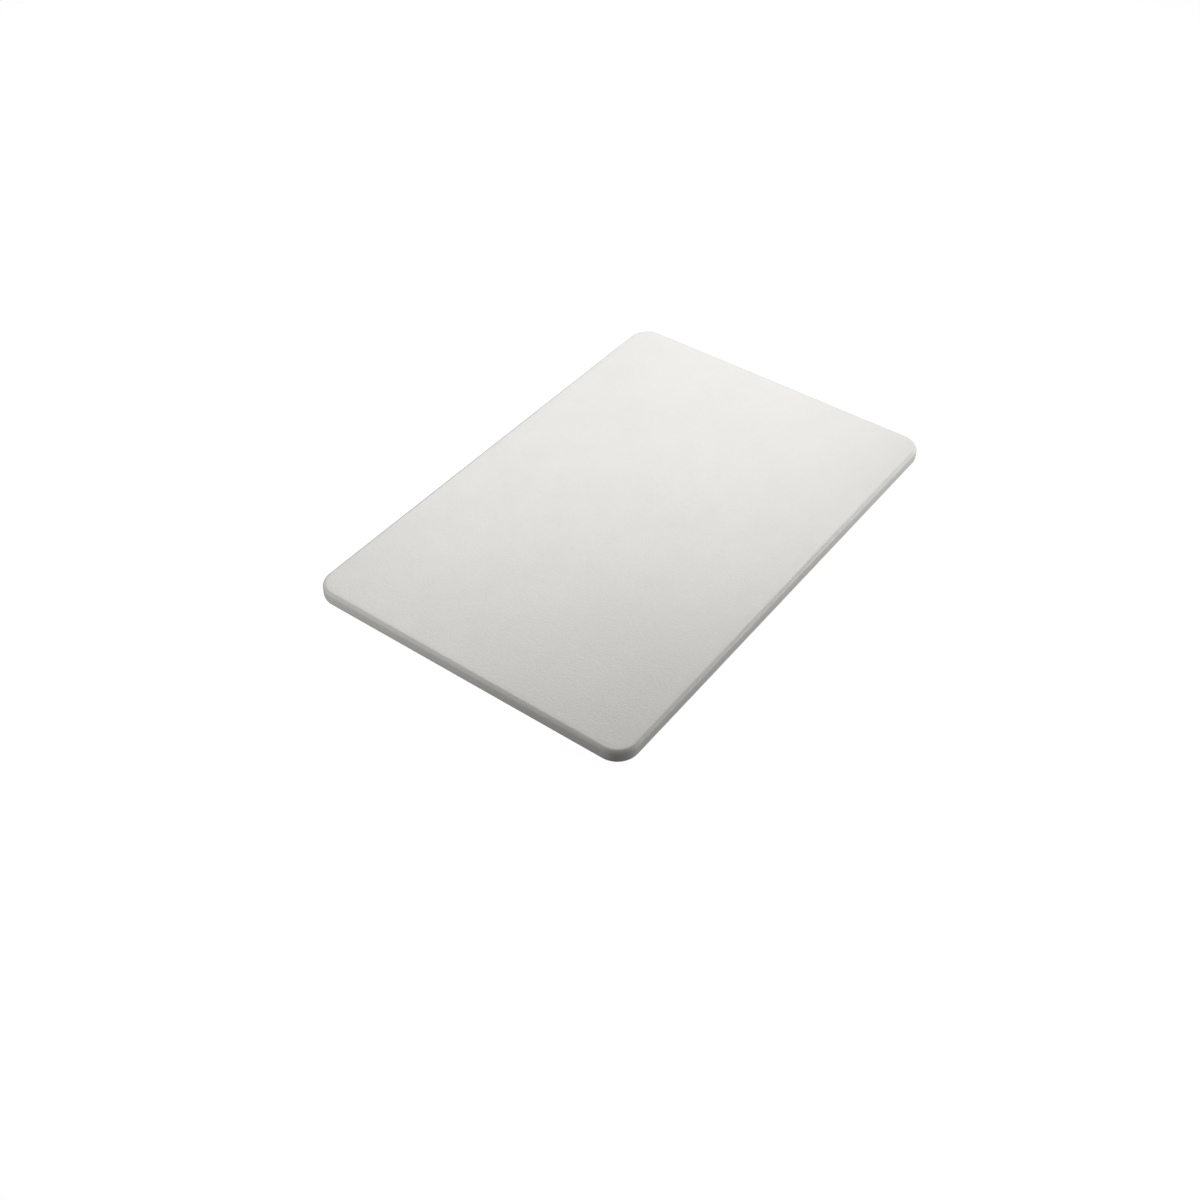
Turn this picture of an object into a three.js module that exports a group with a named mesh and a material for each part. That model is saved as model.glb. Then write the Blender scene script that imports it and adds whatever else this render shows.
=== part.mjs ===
// A one-piece plastic cutting board: a flat rectangular slab with rounded corners and
// rounded edges. Both faces are alike, so the board can be turned over.
//
// Units are millimetres. The origin is at the centre of the face that the board rests on.
// +X runs along the short sides, +Y along the long sides and +Z up through the thickness.

import * as THREE from "three";

const INCH = 25.4;

// Driving dimensions of the board, a standard size of 12 by 18 by 1/2 inch.
const BOARD_WIDTH = 12 * INCH;
const BOARD_LENGTH = 18 * INCH;
const BOARD_THICKNESS = 0.5 * INCH;
const CORNER_RADIUS = 0.75 * INCH;
const EDGE_RADIUS = 0.125 * INCH;

// Straight pieces in each quarter turn of a corner and of an edge rounding.
const CORNER_PIECES = 24;
const EDGE_PIECES = 8;

// Off-white moulded polyethylene with a satin skin.
const boardPlastic = new THREE.MeshStandardMaterial({
  color: 0xe9e8e4,
  roughness: 0.35,
  metalness: 0,
});

// The board's outline seen from above, centred on the origin: four straight sides
// joined by quarter-round corners.
function boardOutline() {
  const cornerX = BOARD_WIDTH / 2 - CORNER_RADIUS;
  const cornerY = BOARD_LENGTH / 2 - CORNER_RADIUS;
  const cornerCentres = [
    [cornerX, cornerY],
    [-cornerX, cornerY],
    [-cornerX, -cornerY],
    [cornerX, -cornerY],
  ];
  const outline = new THREE.Shape();
  cornerCentres.forEach(([x, y], quarter) => {
    const startAngle = (quarter * Math.PI) / 2;
    outline.absarc(x, y, CORNER_RADIUS, startAngle, startAngle + Math.PI / 2, false);
  });
  outline.closePath();
  return outline;
}

// The slab: a flat top and bottom, a short upright wall all round, and a quarter-round
// edge of EDGE_RADIUS between the wall and each face.
function boardSlab() {
  // An arc in a shape is divided into twice as many pieces as curveSegments says.
  const geometry = new THREE.ExtrudeGeometry(boardOutline(), {
    depth: BOARD_THICKNESS - 2 * EDGE_RADIUS,
    curveSegments: CORNER_PIECES / 2,
    bevelEnabled: true,
    bevelThickness: EDGE_RADIUS,
    bevelSize: EDGE_RADIUS,
    bevelOffset: -EDGE_RADIUS,
    bevelSegments: EDGE_PIECES,
  });
  const slab = new THREE.Mesh(geometry, boardPlastic);
  slab.name = "board_slab";
  slab.position.z = EDGE_RADIUS;
  return slab;
}

const cuttingBoard = new THREE.Group();
cuttingBoard.add(boardSlab());

export default cuttingBoard;
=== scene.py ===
"""A white plastic cutting board lying on a pale floor in soft studio light."""

import math

import bmesh
import bpy
from mathutils import Matrix, Vector


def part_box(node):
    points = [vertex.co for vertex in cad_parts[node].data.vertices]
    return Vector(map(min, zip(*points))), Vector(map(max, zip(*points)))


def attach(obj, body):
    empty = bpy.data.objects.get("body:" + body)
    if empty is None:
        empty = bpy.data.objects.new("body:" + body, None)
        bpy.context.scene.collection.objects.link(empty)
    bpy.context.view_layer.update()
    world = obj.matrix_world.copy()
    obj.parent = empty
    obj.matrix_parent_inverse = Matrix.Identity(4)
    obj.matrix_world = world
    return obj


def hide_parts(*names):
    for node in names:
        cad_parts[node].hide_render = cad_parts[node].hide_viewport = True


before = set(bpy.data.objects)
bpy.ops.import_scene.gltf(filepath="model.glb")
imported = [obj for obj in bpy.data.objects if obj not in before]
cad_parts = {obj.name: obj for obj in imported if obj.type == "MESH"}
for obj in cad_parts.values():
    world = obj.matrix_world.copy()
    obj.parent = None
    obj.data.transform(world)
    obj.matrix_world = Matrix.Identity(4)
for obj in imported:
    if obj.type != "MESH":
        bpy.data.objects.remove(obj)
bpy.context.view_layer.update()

MM = 0.001
BOARD_NODE = "board_slab"

# ---------------------------------------------------------------- the board's shape

slab_low, slab_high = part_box(BOARD_NODE)
WIDTH = slab_high.x - slab_low.x
LENGTH = slab_high.y - slab_low.y
THICKNESS = slab_high.z - slab_low.z
CORNER_RADIUS = 19.05 * MM
EDGE_RADIUS = 3.175 * MM

# How finely the corners, the edge roundings, the walls and the strip of face inside the
# corners are divided, and about how wide the cells of the flat faces are.
CORNER_STEPS = 32
EDGE_STEPS = 14
WALL_STEPS = 4
RIM_STEPS = 4
CELL = 5.5 * MM
MERGE_DISTANCE = 1e-6


def ring_points(radius, across, along):
    """Points round a rectangle of corner centres, radius away from it, anticlockwise from the
    right side's lower end. Each straight side and each corner keeps the same count of points
    whatever the radius, so that neighbouring rings join up point by point."""
    half_x = WIDTH / 2 - CORNER_RADIUS
    half_y = LENGTH / 2 - CORNER_RADIUS
    corners = [(half_x, -half_y), (half_x, half_y), (-half_x, half_y), (-half_x, -half_y)]
    counts = [along, across, along, across]
    points = []
    for side in range(4):
        start = Vector(corners[side])
        end = Vector(corners[(side + 1) % 4])
        facing = side * math.pi / 2
        outward = Vector((math.cos(facing), math.sin(facing))) * radius
        for step in range(counts[side]):
            points.append(start.lerp(end, step / counts[side]) + outward)
        for step in range(CORNER_STEPS):
            angle = facing + math.pi / 2 * step / CORNER_STEPS
            points.append(end + Vector((math.cos(angle), math.sin(angle))) * radius)
    return points


def edge_profile():
    """(distance out from the corner centres, height) from the top face down to the bottom."""
    rim = CORNER_RADIUS - EDGE_RADIUS
    profile = [(rim * step / RIM_STEPS, THICKNESS) for step in range(1, RIM_STEPS)]
    for step in range(EDGE_STEPS + 1):
        angle = math.pi / 2 * step / EDGE_STEPS
        out = rim + EDGE_RADIUS * math.sin(angle)
        profile.append((out, THICKNESS - EDGE_RADIUS + EDGE_RADIUS * math.cos(angle)))
    upper_half = list(profile)
    for step in range(1, WALL_STEPS):
        fall = (THICKNESS - 2 * EDGE_RADIUS) * step / WALL_STEPS
        profile.append((CORNER_RADIUS, THICKNESS - EDGE_RADIUS - fall))
    profile += [(out, THICKNESS - height) for out, height in reversed(upper_half)]
    return profile


def fill_middle(mesh, across, along, height, upward):
    """The grid of faces between the corner centres, whose border meets the innermost ring."""
    half_x = WIDTH / 2 - CORNER_RADIUS
    half_y = LENGTH / 2 - CORNER_RADIUS
    grid = []
    for row in range(along + 1):
        y = -half_y + 2 * half_y * row / along
        line = []
        for column in range(across + 1):
            x = -half_x + 2 * half_x * column / across
            line.append(mesh.verts.new((x, y, height)))
        grid.append(line)
    for row in range(along):
        for column in range(across):
            face = [grid[row][column], grid[row][column + 1],
                    grid[row + 1][column + 1], grid[row + 1][column]]
            mesh.faces.new(face if upward else face[::-1])


def build_board():
    """The whole slab as one closed mesh: rings joined down the side, and a grid in the middle
    of each face."""
    across = max(2, round((WIDTH - 2 * CORNER_RADIUS) / CELL))
    along = max(2, round((LENGTH - 2 * CORNER_RADIUS) / CELL))
    mesh = bmesh.new()
    rings = []
    for out, height in [(0, THICKNESS)] + edge_profile() + [(0, 0)]:
        points = ring_points(out, across, along)
        rings.append([mesh.verts.new((p.x, p.y, height)) for p in points])
    for upper, lower in zip(rings, rings[1:]):
        for i in range(len(upper)):
            j = (i + 1) % len(upper)
            mesh.faces.new((upper[i], lower[i], lower[j], upper[j]))
    fill_middle(mesh, across, along, THICKNESS, True)
    fill_middle(mesh, across, along, 0, False)
    bmesh.ops.remove_doubles(mesh, verts=mesh.verts, dist=MERGE_DISTANCE)
    bmesh.ops.recalc_face_normals(mesh, faces=mesh.faces)
    data = bpy.data.meshes.new("cutting_board")
    mesh.to_mesh(data)
    mesh.free()
    for polygon in data.polygons:
        polygon.use_smooth = True
    board = bpy.data.objects.new("cutting_board", data)
    bpy.context.scene.collection.objects.link(board)
    return board


# ---------------------------------------------------------------- materials

# Off-white, a little warm; the two whites are where the cloudy tone is deepest and lightest.
DEEPER_WHITE = (0.832, 0.817, 0.776)
BRIGHTER_WHITE = (0.856, 0.843, 0.805)
PLASTIC_IOR = 1.52

# How far apart the lumps of each pattern lie.
CLOUD_PITCH = 70 * MM
MOTTLE_PITCH = 4.5 * MM
SCUFF_PITCH = 14 * MM
PEBBLE_PITCH = 1.9 * MM
GRAIN_PITCH = 0.7 * MM

# How much finer detail the noise patterns carry, and how round the pebbles are.
NOISE_ROUGHNESS = 0.55
PEBBLE_SMOOTHNESS = 0.7

# The cloudy tone is part broad cloud and part small mottle.
CLOUD_SHARE = 0.6
MOTTLE_SHARE = 0.4

# The stretch of each noise that is spread over the full range of tone or roughness.
TONE_SPREAD = (0.38, 0.62)
SCUFF_SPREAD = (0.3, 0.7)

# How far upright a surface's normal is where it counts as wall, and where as face.
WALL_TO_FACE = (0.80, 0.99)

# The walls are a little duller than the faces, and their grain is a little weaker.
FACE_ROUGHNESS = (0.32, 0.36)
WALL_ROUGHNESS = (0.34, 0.38)
WALL_GRAIN = 0.8
GRAIN_HEIGHT = 0.055 * MM


def grey(value):
    return (value, value, value, 1)


def new_material(name):
    material = bpy.data.materials.new(name)
    material.use_nodes = True
    material.node_tree.nodes.clear()
    return material, material.node_tree.nodes, material.node_tree.links


def noise_field(nodes, links, where, pitch, detail):
    """A soft random field from 0 to 1 whose lumps lie about one pitch apart."""
    field = nodes.new("ShaderNodeTexNoise")
    field.inputs["Scale"].default_value = 1 / pitch
    field.inputs["Detail"].default_value = detail
    field.inputs["Roughness"].default_value = NOISE_ROUGHNESS
    links.new(where, field.inputs["Vector"])
    return field.outputs["Fac"]


def stretch(nodes, links, value, range_in, range_out):
    """The value carried from one range to another, and held at its ends."""
    ramp = nodes.new("ShaderNodeMapRange")
    ramp.inputs["From Min"].default_value = range_in[0]
    ramp.inputs["From Max"].default_value = range_in[1]
    ramp.inputs["To Min"].default_value = range_out[0]
    ramp.inputs["To Max"].default_value = range_out[1]
    links.new(value, ramp.inputs["Value"])
    return ramp.outputs["Result"]


def combine(nodes, links, operation, *values):
    """The values put through a math operation; each is a socket or a number."""
    node = nodes.new("ShaderNodeMath")
    node.operation = operation
    for socket, value in zip(node.inputs, values):
        if isinstance(value, (int, float)):
            socket.default_value = value
        else:
            links.new(value, socket)
    return node.outputs["Value"]


def board_plastic():
    """Off-white polyethylene: a satin skin with a fine pebble grain, a little weaker on the
    rounded edges and the walls, and a cloudy tone that is only just there."""
    material, nodes, links = new_material("moulded_polyethylene")
    out = nodes.new("ShaderNodeOutputMaterial")
    shader = nodes.new("ShaderNodeBsdfPrincipled")
    links.new(shader.outputs["BSDF"], out.inputs["Surface"])
    shader.inputs["IOR"].default_value = PLASTIC_IOR
    place = nodes.new("ShaderNodeTexCoord")
    where = place.outputs["Object"]

    # 1 on the flat faces, falling to 0 on the rounded edges and the walls.
    facing = nodes.new("ShaderNodeSeparateXYZ")
    links.new(place.outputs["Normal"], facing.inputs["Vector"])
    upright = combine(nodes, links, "ABSOLUTE", facing.outputs["Z"])
    on_face = stretch(nodes, links, upright, WALL_TO_FACE, (0, 1))

    cloud = noise_field(nodes, links, where, CLOUD_PITCH, detail=2)
    mottle = noise_field(nodes, links, where, MOTTLE_PITCH, detail=3)
    cloud_part = combine(nodes, links, "MULTIPLY", cloud, CLOUD_SHARE)
    mottle_part = combine(nodes, links, "MULTIPLY", mottle, MOTTLE_SHARE)
    blend = combine(nodes, links, "ADD", cloud_part, mottle_part)
    tone = nodes.new("ShaderNodeMix")
    tone.data_type = "RGBA"
    tone.inputs["A"].default_value = (*DEEPER_WHITE, 1)
    tone.inputs["B"].default_value = (*BRIGHTER_WHITE, 1)
    links.new(stretch(nodes, links, blend, TONE_SPREAD, (0, 1)), tone.inputs["Factor"])
    links.new(tone.outputs["Result"], shader.inputs["Base Color"])

    scuff = noise_field(nodes, links, where, SCUFF_PITCH, detail=3)
    sheen = nodes.new("ShaderNodeMix")
    links.new(on_face, sheen.inputs["Factor"])
    links.new(stretch(nodes, links, scuff, SCUFF_SPREAD, WALL_ROUGHNESS), sheen.inputs["A"])
    links.new(stretch(nodes, links, scuff, SCUFF_SPREAD, FACE_ROUGHNESS), sheen.inputs["B"])
    links.new(sheen.outputs["Result"], shader.inputs["Roughness"])

    pebbles = nodes.new("ShaderNodeTexVoronoi")
    pebbles.feature = "SMOOTH_F1"
    pebbles.inputs["Scale"].default_value = 1 / PEBBLE_PITCH
    pebbles.inputs["Smoothness"].default_value = PEBBLE_SMOOTHNESS
    links.new(where, pebbles.inputs["Vector"])
    fine = noise_field(nodes, links, where, GRAIN_PITCH, detail=2)
    relief = combine(nodes, links, "SUBTRACT", fine, pebbles.outputs["Distance"])
    strength = stretch(nodes, links, on_face, (0, 1), (WALL_GRAIN, 1))
    bump = nodes.new("ShaderNodeBump")
    bump.inputs["Distance"].default_value = GRAIN_HEIGHT
    links.new(strength, bump.inputs["Strength"])
    links.new(relief, bump.inputs["Height"])
    links.new(bump.outputs["Normal"], shader.inputs["Normal"])
    return material


# The even light from all around, the floor's own glow as the camera sees it, and the share
# of light that the seen floor adds to it. The backdrop looks as bright as the far floor, so
# that no horizon shows.
SURROUND = 0.04
FLOOR_GLOW = 0.95
FLOOR_SHARE = 0.2
BACKDROP = FLOOR_GLOW + FLOOR_SHARE * SURROUND

# How much light the floor gives back to the board, and how far it reaches each way.
FLOOR_BOUNCE = 0.22
FLOOR_REACH = 30.0


def floor_white():
    """A white sweep: the camera sees a bright, even ground with hardly a shadow, and the
    board gets only the modest bounce of a grey table."""
    material, nodes, links = new_material("floor_white")
    out = nodes.new("ShaderNodeOutputMaterial")
    sight = nodes.new("ShaderNodeLightPath")
    mix = nodes.new("ShaderNodeMixShader")
    bounce = nodes.new("ShaderNodeBsdfDiffuse")
    bounce.inputs["Color"].default_value = grey(FLOOR_BOUNCE)
    seen = nodes.new("ShaderNodeAddShader")
    glow = nodes.new("ShaderNodeEmission")
    glow.inputs["Strength"].default_value = FLOOR_GLOW
    shade = nodes.new("ShaderNodeBsdfDiffuse")
    shade.inputs["Color"].default_value = grey(FLOOR_SHARE)
    links.new(glow.outputs[0], seen.inputs[0])
    links.new(shade.outputs[0], seen.inputs[1])
    links.new(sight.outputs["Is Camera Ray"], mix.inputs[0])
    links.new(bounce.outputs[0], mix.inputs[1])
    links.new(seen.outputs[0], mix.inputs[2])
    links.new(mix.outputs[0], out.inputs["Surface"])
    return material


# ---------------------------------------------------------------- stage, light and camera


def build_floor():
    data = bpy.data.meshes.new("floor")
    reach = FLOOR_REACH
    corners = [(-reach, -reach, 0), (reach, -reach, 0), (reach, reach, 0), (-reach, reach, 0)]
    data.from_pydata(corners, [], [(0, 1, 2, 3)])
    floor = bpy.data.objects.new("floor", data)
    bpy.context.scene.collection.objects.link(floor)
    data.materials.append(floor_white())


def softbox(name, azimuth, elevation, distance, width, height, power):
    """A soft rectangular lamp that faces the board's middle. Seen from above, azimuth turns
    anticlockwise from -Y. Angles are in degrees, the distance and sizes in metres and the
    power in watts."""
    turn = Matrix.Rotation(math.radians(azimuth), 4, "Z")
    tilt = Matrix.Rotation(math.radians(90 - elevation), 4, "X")
    lamp = bpy.data.lights.new(name, "AREA")
    lamp.shape = "RECTANGLE"
    lamp.size = width
    lamp.size_y = height
    lamp.energy = power
    holder = bpy.data.objects.new(name, lamp)
    bpy.context.scene.collection.objects.link(holder)
    holder.matrix_world = turn @ tilt @ Matrix.Translation((0, 0, distance))
    holder.visible_camera = False


def build_world():
    """A plain white backdrop for the camera, and a weak even light for everything else."""
    world = bpy.data.worlds.new("studio")
    bpy.context.scene.world = world
    world.use_nodes = True
    nodes, links = world.node_tree.nodes, world.node_tree.links
    nodes.clear()
    out = nodes.new("ShaderNodeOutputWorld")
    sight = nodes.new("ShaderNodeLightPath")
    mix = nodes.new("ShaderNodeMixShader")
    light = nodes.new("ShaderNodeBackground")
    light.inputs["Color"].default_value = grey(1)
    light.inputs["Strength"].default_value = SURROUND
    backdrop = nodes.new("ShaderNodeBackground")
    backdrop.inputs["Color"].default_value = grey(1)
    backdrop.inputs["Strength"].default_value = BACKDROP
    links.new(sight.outputs["Is Camera Ray"], mix.inputs[0])
    links.new(light.outputs[0], mix.inputs[1])
    links.new(backdrop.outputs[0], mix.inputs[2])
    links.new(mix.outputs[0], out.inputs["Surface"])


# The camera's direction and roll in degrees, its lens and film width in millimetres, and its
# place in metres.
VIEW_AZIMUTH = 35.90
VIEW_ELEVATION = 43.84
VIEW_ROLL = 0.61
LENS_MM = 46.78
FILM_MM = 36
CAMERA_PLACE = Vector((0.5621, -0.8249, 0.8655))


def build_camera():
    lens = bpy.data.cameras.new("camera")
    lens.sensor_width = FILM_MM
    lens.lens = LENS_MM
    camera = bpy.data.objects.new("camera", lens)
    bpy.context.scene.collection.objects.link(camera)
    turn = Matrix.Rotation(math.radians(VIEW_AZIMUTH), 4, "Z")
    tilt = Matrix.Rotation(math.radians(90 - VIEW_ELEVATION), 4, "X")
    roll = Matrix.Rotation(math.radians(VIEW_ROLL), 4, "Z")
    camera.matrix_world = Matrix.Translation(CAMERA_PLACE) @ turn @ tilt @ roll
    bpy.context.scene.camera = camera


build_camera()
build_floor()
build_world()
softbox("rear_softbox", 218, 41, 1.10, 0.90, 0.40, 7.74)
softbox("rear_right_softbox", 160, 35, 1.00, 0.90, 0.60, 1.37)
softbox("rear_strip", 185, 10, 0.80, 1.50, 0.30, 2.33)
softbox("right_fill", 115, 8, 0.80, 0.80, 0.30, 2.75)
softbox("front_left_fill", 337, 21, 0.60, 0.50, 0.55, 1.05)

board = build_board()
board.data.materials.append(board_plastic())
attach(board, "root")
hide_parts(BOARD_NODE)

bpy.context.scene.view_settings.view_transform = "Standard"
